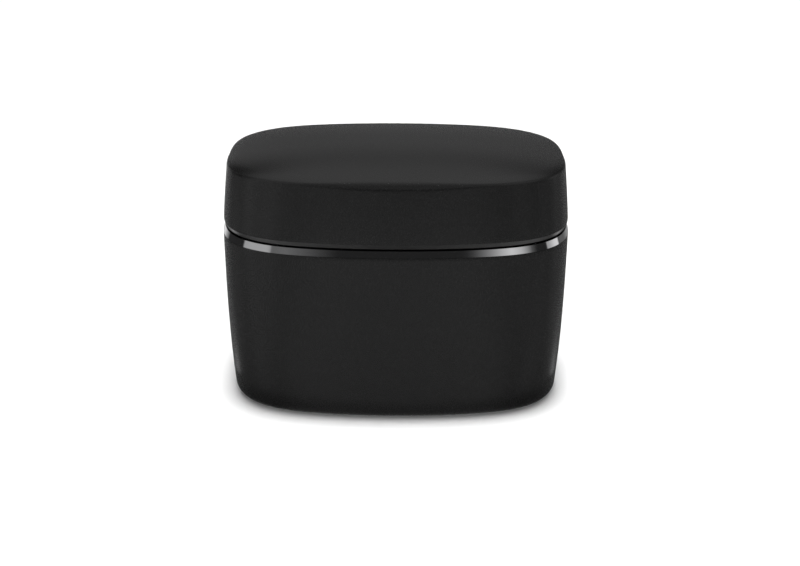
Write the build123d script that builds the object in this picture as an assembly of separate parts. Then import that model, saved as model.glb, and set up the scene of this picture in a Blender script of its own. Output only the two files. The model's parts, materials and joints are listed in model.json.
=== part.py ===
from build123d import *
import math
import os

# Lidded charging case for a pair of hearing aids.
# Frame: millimetres, +Z up, origin on the resting plane under the middle of
# the case, front towards -Y, hinge towards +Y.

# ---------------------------------------------------------------- dimensions
HALF_W = 49.2          # half width of the case at its widest level
HALF_D = 31.0          # half depth of the case at its widest level
PLAN_N = 3.13          # exponent of the superelliptic plan outline

Z_FLOOR = 0.6          # underside of the housing above the resting plane
BOTTOM_R = 3.05        # rounding between the underside and the wall
FOOT_TAPER = 1.39      # how far the wall draws in at the bottom
TAPER_P = 2.79         # how late that draw-in starts
Z_BASE_TOP = 50.37     # top edge of the base housing
Z_TRIM_TOP = 52.23     # top of the bright trim ring
TRIM_BEVEL = 0.6       # how far the trim ring leans in
Z_LID_BOT = 52.70      # lower edge of the lid
Z_LID_CH = 54.17       # top of the chamfer round the lid's lower edge
LID_BOT_IN = 0.80      # inset of the lid's lower edge
LID_CH_IN = 0.27       # inset of the lid wall just above the chamfer
Z_LID_EDGE = 70.06     # level of the edge between lid wall and lid top
LID_TOP_IN = 1.74      # inset of the lid wall at that edge
LID_WALL_P = 1.15      # curvature of the lid wall
DOME_H = 4.25          # height of the crown above that edge
DOME_P = 2.7           # how flat the crown is

WALL = 2.2             # base housing wall
LID_WALL = 2.0         # lid shell wall
LID_ROOF = 2.2         # lid shell roof

Z_TRAY_TOP = 51.6      # top face of the charging tray
Z_TRAY_STEP = 50.5     # ledge round the tray that carries the seal
Z_TRAY_BOT = 48.9      # underside of the tray plate
TRAY_IN = 2.75         # inset of the tray's outer edge
PLATEAU_IN = 3.80      # inset of the raised middle of the tray

WELL_X = 27.0          # distance of each charging well from the middle
WELL_HX, WELL_HY = 4.8, 8.0       # half size of the well mouth
WELL_BX, WELL_BY = 4.2, 7.2       # half size of the well floor
WELL_WALL = 1.2
Z_WELL_FLOOR = 31.0
POCKET_HX, POCKET_HY = 12.5, 11.5  # half size of the receiver pocket
Z_POCKET = 41.3
CHANNEL_W, Z_CHANNEL = 3.8, 48.3   # wire channels from pocket to wells

AX_Y, AX_Z = 29.8, 52.9           # hinge axis
KNUCKLE_R = 2.4
PIN_R = 0.80
HINGE_HX = 20.5                   # half length of the hinge barrel
LID_KN_HX = 11.7                  # half length of the lid's knuckle
HINGE_CUT = 20.8                  # half length of the cut-out for it

LINER_HX, LINER_HY = 42.0, 22.5   # half size of the lid cavity mouth
LINER_T = 1.2
Z_LINER_TOP = 66.1

Z_PCB = 15.2                      # underside of the main board
PCB_T = 1.2
Z_PORT = 18.05                    # centre height of the inlet and the button
BUTTON_X = -18.0
BUTTON_R = 3.3
BUTTON_PROUD = 0.35
BUTTON_TRAVEL = 0.6

MAGNET_X = 13.0
BATT = (48.0, 28.0, 8.0)
SCREW_BOSS = (34.5, 16.5)
TRAY_BOSS = (37.5, 19.0)
PCB_POST = (27.5, 18.0)
FOOT = (28.0, 12.5)
FOOT_R = 4.0


# ------------------------------------------------------------------- helpers
def se_points(a, b, z, n=PLAN_N, count=36):
    dense = []
    steps = 1440
    for i in range(steps + 1):
        t = 2 * math.pi * i / steps
        c, s = math.cos(t), math.sin(t)
        dense.append((a * math.copysign(abs(c) ** (2 / n), c),
                      b * math.copysign(abs(s) ** (2 / n), s)))
    run = [0.0]
    for p, q in zip(dense, dense[1:]):
        run.append(run[-1] + math.dist(p, q))
    out, j = [], 0
    for k in range(count):
        d = run[-1] * k / count
        while run[j + 1] < d:
            j += 1
        u = (d - run[j]) / ((run[j + 1] - run[j]) or 1.0)
        out.append(Vector(dense[j][0] * (1 - u) + dense[j + 1][0] * u,
                          dense[j][1] * (1 - u) + dense[j + 1][1] * u, z))
    return out


def se_wire(a, b, z):
    return Wire([Edge.make_spline(se_points(a, b, z), periodic=True)])


def plan_wire(inset, z):
    return se_wire(HALF_W - inset, HALF_D - inset, z)


def loft_plan(levels, ruled=False):
    return Solid.make_loft([plan_wire(s, z) for z, s in levels], ruled)


def prism_plan(inset, z0, z1):
    return extrude(Face(plan_wire(inset, z0)), z1 - z0)


def prism_se(a, b, z0, z1):
    return extrude(Face(se_wire(a, b, z0)), z1 - z0)


def block(x0, x1, y0, y1, z0, z1):
    return Pos((x0 + x1) / 2, (y0 + y1) / 2, (z0 + z1) / 2) * Box(x1 - x0, y1 - y0, z1 - z0)


def rod_z(x, y, z0, z1, r):
    return Pos(x, y, (z0 + z1) / 2) * Cylinder(r, z1 - z0)


def rod_y(x, z, y0, y1, r):
    return Pos(x, (y0 + y1) / 2, z) * Rot(90, 0, 0) * Cylinder(r, y1 - y0)


def rod_x(y, z, x0, x1, r):
    return Pos((x0 + x1) / 2, y, z) * Rot(0, 90, 0) * Cylinder(r, x1 - x0)


def round_slab(x, y, z0, z1, hx, hy, r):
    return extrude(Pos(x, y, z0) * RectangleRounded(2 * hx, 2 * hy, r), z1 - z0)


def slab_y(x, z, y0, y1, hx, hz, r):
    # rounded bar that runs along Y
    face = Plane((x, y0, z), x_dir=(1, 0, 0), z_dir=(0, 1, 0)) * RectangleRounded(2 * hx, 2 * hz, r)
    return extrude(face, y1 - y0)


def taper_slab(x, y, z0, hx0, hy0, z1, hx1, hy1, r0=None, r1=None):
    low = (Pos(x, y, z0) * RectangleRounded(2 * hx0, 2 * hy0, r0 or hx0 - 0.3)).face().outer_wire()
    high = (Pos(x, y, z1) * RectangleRounded(2 * hx1, 2 * hy1, r1 or hx1 - 0.3)).face().outer_wire()
    return Solid.make_loft([low, high], True)


def base_inset(z):
    t = (z - Z_FLOOR - BOTTOM_R) / (Z_BASE_TOP - Z_FLOOR - BOTTOM_R)
    return FOOT_TAPER * (1 - min(max(t, 0.0), 1.0)) ** TAPER_P


def lid_inset(z):
    t = (z - Z_LID_CH) / (Z_LID_EDGE - Z_LID_CH)
    return LID_CH_IN + (LID_TOP_IN - LID_CH_IN) * max(t, 0.0) ** LID_WALL_P


def dome_z(x, y, drop=0.0):
    a, b = HALF_W - LID_TOP_IN, HALF_D - LID_TOP_IN
    r = ((abs(x) / a) ** PLAN_N + (abs(y) / b) ** PLAN_N) ** (1 / PLAN_N)
    return Z_LID_EDGE + DOME_H * (1 - r ** DOME_P) - drop


def under_dome(drop, depth):
    # everything under the crown's surface, lowered by drop
    nx, ny = 33, 23
    pts = [[Vector(-52 + 104 * i / (nx - 1), -34 + 68 * j / (ny - 1),
                   dome_z(-52 + 104 * i / (nx - 1), -34 + 68 * j / (ny - 1), drop))
            for i in range(nx)] for j in range(ny)]
    return extrude(Face.make_surface_from_array_of_points(pts), dir=(0, 0, -1), amount=depth)


def cut_cross(z0, z1, x, y, arm=1.05, w=0.45):
    return block(x - arm, x + arm, y - w / 2, y + w / 2, z0, z1) + block(x - w / 2, x + w / 2, y - arm, y + arm, z0, z1)


def screw_up(x, y, z_head, head_r, head_h, shank_r, z_tip):
    # screw driven upwards, its head at the bottom
    s = rod_z(x, y, z_head, z_head + head_h, head_r) + rod_z(x, y, z_head + head_h - 0.01, z_tip, shank_r)
    return s - cut_cross(z_head - 0.1, z_head + head_h * 0.5, x, y, head_r * 0.62, head_r * 0.26)


def screw_down(x, y, z_head, head_r, head_h, shank_r, z_tip):
    # screw driven downwards, z_head is the underside of its head
    s = rod_z(x, y, z_head, z_head + head_h, head_r) + rod_z(x, y, z_tip, z_head + 0.01, shank_r)
    return s - cut_cross(z_head + head_h * 0.5, z_head + head_h + 0.1, x, y, head_r * 0.62, head_r * 0.26)


def screw_back(x, z, y_head, head_r, head_h, shank_r, y_tip):
    # screw driven towards +Y, y_head is the front face of its head
    s = rod_y(x, z, y_head, y_head + head_h, head_r) + rod_y(x, z, y_head + head_h - 0.01, y_tip, shank_r)
    a, w = head_r * 0.62, head_r * 0.26
    cross = block(x - a, x + a, y_head - 0.1, y_head + head_h * 0.5, z - w / 2, z + w / 2) \
        + block(x - w / 2, x + w / 2, y_head - 0.1, y_head + head_h * 0.5, z - a, z + a)
    return s - cross


def corners(p):
    return [(sx * p[0], sy * p[1]) for sx in (-1, 1) for sy in (-1, 1)]


NODES = {}


def add(name, *solids):
    out = []
    for s in solids:
        out += list(s.solids())
    NODES[name] = out[0] if len(out) == 1 else Compound(children=out)


# ---------------------------------------------------------- base outer shell
base_levels = [Z_FLOOR, 3.65, 9.5, 16.5, 24.5, 33.0, 42.0, Z_BASE_TOP]
base_outer = loft_plan([(z, base_inset(z)) for z in base_levels])
bottom_edge = base_outer.edges().filter_by(lambda e: abs(e.center().Z - Z_FLOOR) < 1e-3)
base_outer = fillet(bottom_edge, BOTTOM_R)

cavity = loft_plan([(z, base_inset(z) + WALL) for z in (4.4, 12.0, 24.5, Z_BASE_TOP + 1.0)], True)
housing = base_outer - [
    cavity,
    prism_plan(1.2, 47.4, 52.0),          # rabbet for the trim ring's skirt
    prism_plan(6.2, 0.0, 2.8),            # seat of the bottom cover
    prism_plan(8.0, 2.7, 4.6),            # opening above it
]
inner = [block(-20.6, 20.6, 26.7, 33.0, 38.0, 50.1)]       # pad behind the hinge bracket
inner += [rod_z(x, y, 2.85, 14.0, 3.0) for x, y in corners(SCREW_BOSS)]
inner += [rod_z(x, y, 41.0, 43.0, 5.5) for x, y in corners(TRAY_BOSS)]
inner += [rod_y(BUTTON_X, Z_PORT, 27.5, 29.4, 5.4)]
inner = [piece & base_outer for piece in inner]
housing = housing.fuse(*inner)
# openings through the rear wall and blind holes for the screws
flare = Solid.make_loft([
    (Plane((0, 29.6, Z_PORT), x_dir=(1, 0, 0), z_dir=(0, 1, 0)) * RectangleRounded(9.5, 3.84, 1.9)).face().outer_wire(),
    (Plane((0, 31.2, Z_PORT), x_dir=(1, 0, 0), z_dir=(0, 1, 0)) * RectangleRounded(11.9, 6.24, 3.1)).face().outer_wire()], True)
holes = [block(-HINGE_CUT, HINGE_CUT, 24.0, 34.0, 50.1, 53.0),
         slab_y(0.0, Z_PORT, 25.0, 33.0, 4.75, 1.92, 1.9), flare,
         rod_y(BUTTON_X, Z_PORT, 24.0, 33.0, BUTTON_R + 0.25),
         rod_y(BUTTON_X, Z_PORT, 24.0, 27.5, 4.8)]
holes += [rod_y(x, 44.0, 26.0, 29.9, 0.9) for x in (-15.0, 15.0)]
holes += [rod_z(x, y, 2.0, 11.5, 0.9) for x, y in corners(SCREW_BOSS)]
holes += [rod_z(x, y, 40.0, 44.0, 1.2) for x, y in corners(TRAY_BOSS)]
housing = housing - holes
add("base_housing", housing)

# ------------------------------------------------------------ bright trim ring
band = loft_plan([(Z_BASE_TOP, 0.0), (Z_TRIM_TOP, TRIM_BEVEL)], True)
skirt = prism_plan(1.3, 47.5, Z_BASE_TOP + 0.1)
ring = (band + skirt) - [prism_plan(2.6, 47.0, 53.0), block(-HINGE_CUT, HINGE_CUT, 20.0, 34.0, 47.0, 53.0)]
add("trim_ring", ring)

# --------------------------------------------------------------- bottom cover
cover = prism_plan(6.4, 0.8, 2.7).fuse(*[rod_z(x, y, 2.6, Z_PCB - 0.02, 2.4) for x, y in corners(PCB_POST)])
cuts = [rod_z(x, y, 6.0, Z_PCB + 1, 0.9) for x, y in corners(PCB_POST)]
cuts += [rod_z(x, y, 0.0, 4.0, 1.15) for x, y in corners(SCREW_BOSS)]
cuts += [rod_z(x, y, 0.0, 2.0, 2.1) for x, y in corners(SCREW_BOSS)]
cuts += [rod_z(x, y, 0.0, 1.65, FOOT_R + 0.15) for x, y in corners(FOOT)]
cover = cover - (cuts + [round_slab(0, 0, 0.0, 1.1, 18.2, 6.2, 1.2)])
add("bottom_cover", cover)
add("rating_plate", round_slab(0, 0, 0.86, 1.08, 18.0, 6.0, 1.0))

feet = []
for x, y in corners(FOOT):
    f = rod_z(x, y, 0.0, 1.6, FOOT_R)
    f = chamfer(f.edges().filter_by(GeomType.CIRCLE).sort_by(Axis.Z)[0], 0.35)
    feet.append(f)
add("rubber_feet", *feet)
add("bottom_cover_screws", *[screw_up(x, y, 0.9, 1.9, 1.08, 0.85, 10.5) for x, y in corners(SCREW_BOSS)])

# ------------------------------------------------------------- charging tray
plateau = prism_plan(PLATEAU_IN, Z_TRAY_STEP - 0.1, Z_TRAY_TOP)
plateau = chamfer(plateau.edges().filter_by(lambda e: abs(e.center().Z - Z_TRAY_TOP) < 1e-3), 0.35)
under = [plateau, round_slab(0, 0, 39.8, Z_TRAY_BOT + 0.2, POCKET_HX + 1.5, POCKET_HY + 1.5, 9.0)]
for sx in (-1, 1):
    xa, xb = sorted((sx * 13.0, sx * (WELL_X - WELL_HX - WELL_WALL - 0.35)))
    under.append(block(xa, xb, -3.2, 3.2, 46.9, Z_TRAY_BOT + 0.2))
under += [rod_z(x, y, 43.05, Z_TRAY_BOT + 0.2, 2.4) for x, y in corners(TRAY_BOSS)]
under += [rod_z(x, -21.0, 45.55, Z_TRAY_BOT + 0.2, 2.2) for x in (-16.0, 16.0)]
under += [block(x - 6.8, x + 6.8, -27.3, -24.1, 44.4, Z_TRAY_BOT + 0.2) for x in (-MAGNET_X, MAGNET_X)]
tray = prism_plan(TRAY_IN, Z_TRAY_BOT, Z_TRAY_STEP).fuse(*under)
# receiver pocket with a rounded floor
pocket = round_slab(0, 0, Z_POCKET, Z_TRAY_TOP + 1, POCKET_HX, POCKET_HY, 8.0)
pocket = fillet(pocket.edges().filter_by(lambda e: abs(e.center().Z - Z_POCKET) < 1e-3), 3.0)


def channel(sx):
    xa, xb = sorted((sx * 11.0, sx * (WELL_X - 3.0)))
    ch = block(xa, xb, -CHANNEL_W / 2, CHANNEL_W / 2, Z_CHANNEL, Z_TRAY_TOP + 1)
    return fillet(ch.edges().filter_by(Axis.X).sort_by(Axis.Z)[0:2], 1.5)


cuts = [pocket, channel(-1), channel(1)]
for wx in (-WELL_X, WELL_X):
    cuts += [round_slab(wx, 0, 40.0, 53.0, WELL_HX + WELL_WALL + 0.2, WELL_HY + WELL_WALL + 0.2, WELL_HX + WELL_WALL - 0.1),
             round_slab(wx, 0, 50.65, 53.0, 7.35, 10.55, 7.05),
             round_slab(wx, -15.6, 51.05, 53.0, 2.6, 0.9, 0.8)]
cuts += [rod_z(x, -21.0, 45.0, 53.0, 1.15) for x in (-WELL_X, -6.0, 0.0, 6.0, WELL_X)]
cuts += [rod_z(x, -21.0, 45.0, 48.6, 0.8) for x in (-16.0, 16.0)]
cuts += [block(x - 6.1, x + 6.1, -26.9, -24.5, 44.0, 48.8) for x in (-MAGNET_X, MAGNET_X)]
cuts += [rod_z(x, y, 42.0, 48.0, 0.85) for x, y in corners(TRAY_BOSS)]
cuts += [block(-21.0, 21.0, 25.0, 34.0, 44.0, 53.0)]
tray = tray - cuts
add("charging_tray", tray)
add("tray_screws", *[screw_up(x, y, 39.9, 1.9, 1.08, 0.8, 47.5) for x, y in corners(TRAY_BOSS)])

# ------------------------------------------------------------ charging wells
for side, sx in (("left", -1), ("right", 1)):
    wx = sx * WELL_X
    cup = taper_slab(wx, 0, 29.8, WELL_BX + WELL_WALL, WELL_BY + WELL_WALL,
                     Z_TRAY_TOP - 0.5, WELL_HX + WELL_WALL, WELL_HY + WELL_WALL)
    cup = cup + round_slab(wx, 0, 50.7, Z_TRAY_TOP, 7.2, 10.4, 6.9)
    rings = [(Z_WELL_FLOOR, WELL_BX, WELL_BY), (Z_TRAY_TOP - 1.3, WELL_HX, WELL_HY), (Z_TRAY_TOP + 0.2, WELL_HX + 1.3, WELL_HY + 1.3)]
    hollow = Solid.make_loft([(Pos(wx, 0, z) * RectangleRounded(2 * hx, 2 * hy, hx - 0.3)).face().outer_wire()
                              for z, hx, hy in rings], True)
    hollow = fillet(hollow.edges().filter_by(lambda e: abs(e.center().Z - Z_WELL_FLOOR) < 1e-3), 1.6)
    cup = cup - [hollow, channel(sx)]
    add(side + "_charging_well", cup)
    add(side + "_side_marker", round_slab(wx, -15.6, 51.1, Z_TRAY_TOP + 0.02, 2.5, 0.8, 0.7))
    # induction coil under the floor of the well, with its ferrite and carrier
    coil = rod_z(wx, 0, 28.7, 29.7, 6.4) - rod_z(wx, 0, 28.0, 30.0, 2.6)
    add(side + "_charging_coil", coil)
    holder = rod_z(wx, 0, 26.2, 29.7, 8.0) - rod_z(wx, 0, 27.7, 30.0, 6.95)
    holder = holder + block(wx - 7.9, wx - 6.3, -2.5, 2.5, 26.2, 36.0) + block(wx + 6.3, wx + 7.9, -2.5, 2.5, 26.2, 36.0)
    holder = holder - block(wx - 1.8, wx + 1.8, -9.0, -5.5, 27.7, 30.0) - rod_z(wx, 0, 27.7, 30.0, 6.95)
    add(side + "_coil_holder", holder)
add("coil_ferrites", *[rod_z(sx * WELL_X, 0, 27.8, 28.6, 6.8) for sx in (-1, 1)])

# -------------------------------------------------------- indicators and pipes
def light_pipe(x):
    return rod_z(x, -21.0, 46.35, Z_TRAY_TOP + 0.02, 1.0) + rod_z(x, -21.0, 47.3, 48.8, 1.7)


add("gauge_light_pipes", *[light_pipe(x) for x in (-6.0, 0.0, 6.0)])
add("side_light_pipes", *[light_pipe(x) for x in (-WELL_X, WELL_X)])
board = round_slab(0, -20.6, 44.5, 45.5, 32.0, 3.25, 1.5)
for x in (-16.0, 16.0):
    board = board - rod_z(x, -21.0, 44.0, 46.0, 0.95)
add("indicator_board", board)
add("indicator_leds", *[block(x - 0.8, x + 0.8, -21.4, -20.6, 45.52, 46.15) for x in (-WELL_X, -6.0, 0.0, 6.0, WELL_X)])
add("indicator_board_screws", *[screw_up(x, -21.0, 43.45, 1.6, 1.0, 0.75, 48.2) for x in (-16.0, 16.0)])

# ribbon from the indicator board down to the main board
rib_path = FilletPolyline([(0, -20.6, 43.0), (0, -20.6, 36.0), (0, -17.2, 27.0), (0, -17.2, 18.4)], radius=[9.0, 9.0])
ribbon = sweep(Plane((0, -20.6, 43.0), x_dir=(1, 0, 0), z_dir=(0, 0, -1)) * Rectangle(6.0, 0.3), path=rib_path)
add("indicator_ribbon", ribbon)
add("ribbon_connectors", block(-4.0, 4.0, -22.1, -19.1, 43.0, 44.48), block(-4.0, 4.0, -18.7, -15.7, 16.42, 18.38))

# --------------------------------------------------------------- seal gasket
gasket = prism_plan(TRAY_IN + 0.02, Z_TRAY_STEP + 0.02, 53.1) - prism_plan(3.70, 50.0, 54.0)
gasket = gasket - block(-21.2, 21.2, 20.0, 34.0, 50.0, 54.0)
add("seal_gasket", gasket)

# ------------------------------------------------------------ closing magnets
add("base_magnets", *[block(x - 6.0, x + 6.0, -26.8, -24.6, 44.7, 48.75) for x in (-MAGNET_X, MAGNET_X)])
add("lid_magnets", *[block(x - 6.0, x + 6.0, -27.1, -24.9, 54.85, 58.85) for x in (-MAGNET_X, MAGNET_X)])

# -------------------------------------------------------------- main board
pcb = prism_se(45.0, 27.0, Z_PCB, Z_PCB + PCB_T)
pcb = pcb - ([rod_z(x, y, 15.0, 17.0, 1.1) for x, y in corners(PCB_POST)]
             + [block(BUTTON_X - 5.2, BUTTON_X + 5.2, 25.4, 30.0, 15.0, 17.0)])
add("main_board", pcb)
ZB = Z_PCB + PCB_T
add("board_screws", *[screw_down(x, y, ZB + 0.02, 1.8, 1.1, 0.85, 8.0) for x, y in corners(PCB_POST)])
add("controller_chip", round_slab(10.0, -6.0, ZB + 0.02, ZB + 0.95, 3.5, 3.5, 0.3))
add("charge_control_chip", round_slab(-9.0, 9.0, ZB + 0.02, ZB + 0.85, 2.5, 2.5, 0.3))
add("coil_driver_chips", *[round_slab(x, 9.0, ZB + 0.02, ZB + 0.85, 2.0, 2.0, 0.25) for x in (-36.0, 36.0)])
add("power_inductor", round_slab(2.0, 13.5, ZB + 0.02, ZB + 3.0, 3.0, 3.0, 1.0))
caps = [block(x - 1.0, x + 1.0, y - 0.6, y + 0.6, ZB + 0.02, ZB + 1.2)
        for x, y in ((-14.5, 9.0), (-14.5, 6.5), (-9.0, 4.6), (9.0, 13.5), (9.0, 16.0), (16.5, -6.0), (10.0, -12.0), (3.6, -6.0))]
add("board_capacitors", *caps)

# ------------------------------------------------------------ charging inlet
usb = slab_y(0, Z_PORT, 22.95, 30.25, 4.47, 1.63, 1.55) - slab_y(0, Z_PORT, 24.2, 31.0, 4.17, 1.33, 1.25)
add("usb_inlet_shell", usb)
add("usb_inlet_tongue", slab_y(0, Z_PORT, 24.22, 25.6, 4.1, 1.26, 1.2) + block(-3.35, 3.35, 25.5, 29.4, Z_PORT - 0.35, Z_PORT + 0.35))

# ---------------------------------------------------- status switch and button
sw = block(BUTTON_X - 3.0, BUTTON_X + 3.0, 20.8, 25.2, ZB + 0.02, 19.7) - rod_y(BUTTON_X, Z_PORT, 23.7, 26.0, 1.25)
add("status_switch_body", sw)
add("status_switch_plunger", rod_y(BUTTON_X, Z_PORT, 24.5, 26.2, 1.0))
proud = loft_plan([(z, base_inset(z) - BUTTON_PROUD) for z in (9.5, 13.0, 18.0, 24.5, 30.0)])
cap = rod_y(BUTTON_X, Z_PORT, 26.4, 33.0, BUTTON_R) & proud
cap = cap + rod_y(BUTTON_X, Z_PORT, 26.4, 27.4, 4.3) + rod_y(BUTTON_X, Z_PORT, 26.2, 26.5, 1.4)
add("status_button_cap", cap)

# ------------------------------------------------------------------- battery
bx, by, bh = BATT
cell = Pos(0, 0, 4.0 + bh / 2) * Box(bx, by, bh)
cell = fillet(cell.edges().filter_by(Axis.X), 2.6)
add("battery_cell", cell)
cradle = block(-25.2, 25.2, -15.2, 15.2, 2.75, 8.0) - block(-24.15, 24.15, -14.15, 14.15, 3.55, 9.0)
cradle = cradle - block(-26.0, -20.0, -4.0, 4.0, 5.0, 9.0)
add("battery_cradle", cradle)
add("battery_tape", block(-22.0, 22.0, -10.5, 10.5, 3.57, 3.98))
add("battery_connector", block(-35.5, -31.0, -3.2, 3.2, 11.6, 15.18))


def wire_tube(pts, radii, r):
    path = FilletPolyline(pts, radius=radii)
    d = path % 0
    return sweep(Plane(path @ 0, z_dir=d) * Circle(r), path=path)


for col, y in (("red", 1.5), ("black", -1.5)):
    add("battery_wire_" + col, wire_tube([(-24.06, y, 8.6), (-28.0, y, 8.2), (-32.4, y, 6.9), (-33.2, y, 11.52)], [4.5, 1.7], 0.6))

leads = []
for sx in (-1, 1):
    for dx in (-0.9, 0.9):
        x = sx * WELL_X + dx
        leads.append(wire_tube([(x, -7.3, 28.3), (x, -10.9, 28.1), (x, -12.2, 22.0), (x, -12.2, 16.45)], [2.4, 4.5], 0.35))
add("coil_leads", *leads)

# ---------------------------------------------------------------- rear hinge
bracket = block(-HINGE_HX, HINGE_HX, 25.2, 26.6, 39.0, 51.8) + block(-HINGE_HX, HINGE_HX, 25.2, 28.6, 50.3, 51.8)
for x0, x1 in ((-HINGE_HX, -12.0), (12.0, HINGE_HX)):
    bracket = bracket + rod_x(AX_Y, AX_Z, x0, x1, KNUCKLE_R) + block(x0, x1, 26.4, 29.8, 50.5, 52.5)
bracket = bracket - rod_x(AX_Y, AX_Z, -12.0, 12.0, KNUCKLE_R + 0.35) - rod_x(AX_Y, AX_Z, -21.0, 21.0, PIN_R + 0.02)
for x in (-15.0, 15.0):
    bracket = bracket - rod_y(x, 44.0, 25.0, 27.0, 1.0)
add("hinge_bracket", bracket)
add("hinge_bracket_screws", *[screw_back(x, 44.0, 24.2, 1.9, 0.98, 0.85, 29.5) for x in (-15.0, 15.0)])
add("hinge_pin", rod_x(AX_Y, AX_Z, -HINGE_HX, HINGE_HX, PIN_R))

leaf = block(-11.3, 11.3, 25.6, 27.0, 53.3, 64.0) + block(-11.3, 11.3, 25.6, 29.8, 53.3, 55.0)
leaf = leaf + rod_x(AX_Y, AX_Z, -LID_KN_HX, LID_KN_HX, KNUCKLE_R)
leaf = leaf - rod_x(AX_Y, AX_Z, -12.0, 12.0, PIN_R + 0.06)
for x in (-7.0, 7.0):
    leaf = leaf - rod_y(x, 60.0, 25.0, 28.0, 1.0)
add("lid_hinge_leaf", leaf)
add("lid_leaf_screws", *[screw_back(x, 60.0, 24.65, 1.8, 0.93, 0.8, 28.8) for x in (-7.0, 7.0)])

# ----------------------------------------------------------------- lid shell
chamf = loft_plan([(Z_LID_BOT, LID_BOT_IN), (Z_LID_CH, LID_CH_IN)], True)
wall_levels = (Z_LID_CH, 58.0, 62.0, 66.0, Z_LID_EDGE, 76.5)
lid_wall = loft_plan([(z, lid_inset(z)) for z in wall_levels])
lid_body = (chamf + lid_wall) & under_dome(0.0, 40.0)
lid_hollow = loft_plan([(z, lid_inset(z) + LID_WALL) for z in (52.0, Z_LID_CH, 62.0, 76.5)], True)
lid_hollow = lid_hollow & under_dome(LID_ROOF, 40.0)
shell = lid_body - lid_hollow
shell = shell + (block(-11.0, 11.0, 27.1, 33.0, 56.2, 64.0) & lid_body)
shell = shell - [rod_x(AX_Y, AX_Z, -HINGE_CUT, HINGE_CUT, KNUCKLE_R + 0.35),
                 block(-HINGE_CUT, HINGE_CUT, 25.0, 34.0, 50.0, AX_Z)] \
    - [rod_y(x, 60.0, 26.0, 29.1, 0.85) for x in (-7.0, 7.0)]
add("lid_outer_shell", shell)

# ------------------------------------------------------------------ lid liner
liner = prism_plan(2.45, 53.2, 54.8).fuse(
    prism_se(LINER_HX + LINER_T, LINER_HY + LINER_T, 54.0, Z_LINER_TOP + LINER_T),
    *[block(x - 6.8, x + 6.8, -24.7, -23.6, 54.6, 57.5) for x in (-MAGNET_X, MAGNET_X)])
lid_cavity = prism_se(LINER_HX - 0.3, LINER_HY - 0.3, 52.0, Z_LINER_TOP)
lid_cavity = fillet(lid_cavity.edges().group_by(Axis.Z)[-1], 3.0)
liner = liner - [lid_cavity, block(-21.0, 21.0, 25.3, 34.0, 53.0, 56.0)]
add("lid_inner_liner", liner)

# ------------------------------------------------------------------- writing
os.makedirs("parts", exist_ok=True)
for name, shape in NODES.items():
    export_step(shape, os.path.join("parts", name + ".step"))
print(len(NODES), "nodes written")
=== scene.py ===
import json
import math
import bpy
import bmesh
import numpy as np
from mathutils import Matrix, Vector


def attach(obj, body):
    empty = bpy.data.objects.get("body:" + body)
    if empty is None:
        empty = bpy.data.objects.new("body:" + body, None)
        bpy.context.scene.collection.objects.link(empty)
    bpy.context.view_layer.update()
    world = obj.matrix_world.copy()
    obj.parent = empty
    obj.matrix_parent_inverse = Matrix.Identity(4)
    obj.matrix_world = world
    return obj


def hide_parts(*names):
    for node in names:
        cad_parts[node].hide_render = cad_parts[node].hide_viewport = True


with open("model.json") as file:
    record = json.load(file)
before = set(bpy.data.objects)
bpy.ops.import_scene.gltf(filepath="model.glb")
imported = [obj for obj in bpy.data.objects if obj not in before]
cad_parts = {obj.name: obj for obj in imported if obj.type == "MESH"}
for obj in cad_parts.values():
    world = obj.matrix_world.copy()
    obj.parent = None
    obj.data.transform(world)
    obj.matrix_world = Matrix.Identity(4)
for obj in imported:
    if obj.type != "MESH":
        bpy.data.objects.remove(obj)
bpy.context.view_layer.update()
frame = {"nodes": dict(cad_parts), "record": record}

nodes = frame["nodes"]
scene = bpy.context.scene
MM = 0.001

# ------------------------------------------------------------------ dimensions
HALF_W, HALF_D, PLAN_N = 49.2, 31.0, 3.13
Z_FLOOR, BOTTOM_R, FOOT_TAPER, TAPER_P = 0.6, 3.05, 1.39, 2.79
Z_BASE_TOP, Z_TRIM_TOP, TRIM_BEVEL = 50.37, 52.23, 0.6
Z_LID_BOT, Z_LID_CH, LID_BOT_IN, LID_CH_IN = 52.70, 54.17, 0.80, 0.27
Z_LID_EDGE, LID_TOP_IN, LID_WALL_P = 70.06, 1.74, 1.15
DOME_H, DOME_P = 4.25, 2.7
WALL, LID_WALL, LID_ROOF = 2.2, 2.0, 2.2
AX_Y, AX_Z = 29.8, 52.9
KNUCKLE_R, HINGE_CUT = 2.4, 20.8
Z_PORT, BUTTON_X, BUTTON_R = 18.05, -18.0, 3.3

SEG = 512


# ------------------------------------------------------------- camera and stage
def set_camera():
    cam_data = bpy.data.cameras.new("camera")
    cam = bpy.data.objects.new("camera", cam_data)
    scene.collection.objects.link(cam)
    dist, tilt, aim_x, aim_z, roll = 376.8, math.radians(23.0), 1.25, 30.12, math.radians(0.30)
    eye = Vector((aim_x, -dist * math.cos(tilt), aim_z + dist * math.sin(tilt))) * MM
    aim = Vector((aim_x, 0.0, aim_z)) * MM
    turn = (aim - eye).to_track_quat("-Z", "Y").to_matrix().to_4x4()
    cam.matrix_world = Matrix.Translation(eye) @ turn @ Matrix.Rotation(roll, 4, "Z")
    cam_data.sensor_width = 36.0
    cam_data.lens = 1270.84 / 800.0 * 36.0
    cam_data.clip_start, cam_data.clip_end = 0.01, 20.0
    scene.camera = cam


set_camera()


# --------------------------------------------------------------------- materials
def new_material(name):
    m = bpy.data.materials.new(name)
    m.use_nodes = True
    nt = m.node_tree
    bsdf = nt.nodes.get("Principled BSDF")
    return m, nt, bsdf


def node(nt, kind, **inputs):
    n = nt.nodes.new(kind)
    for k, v in inputs.items():
        n.inputs[k].default_value = v
    return n


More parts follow.
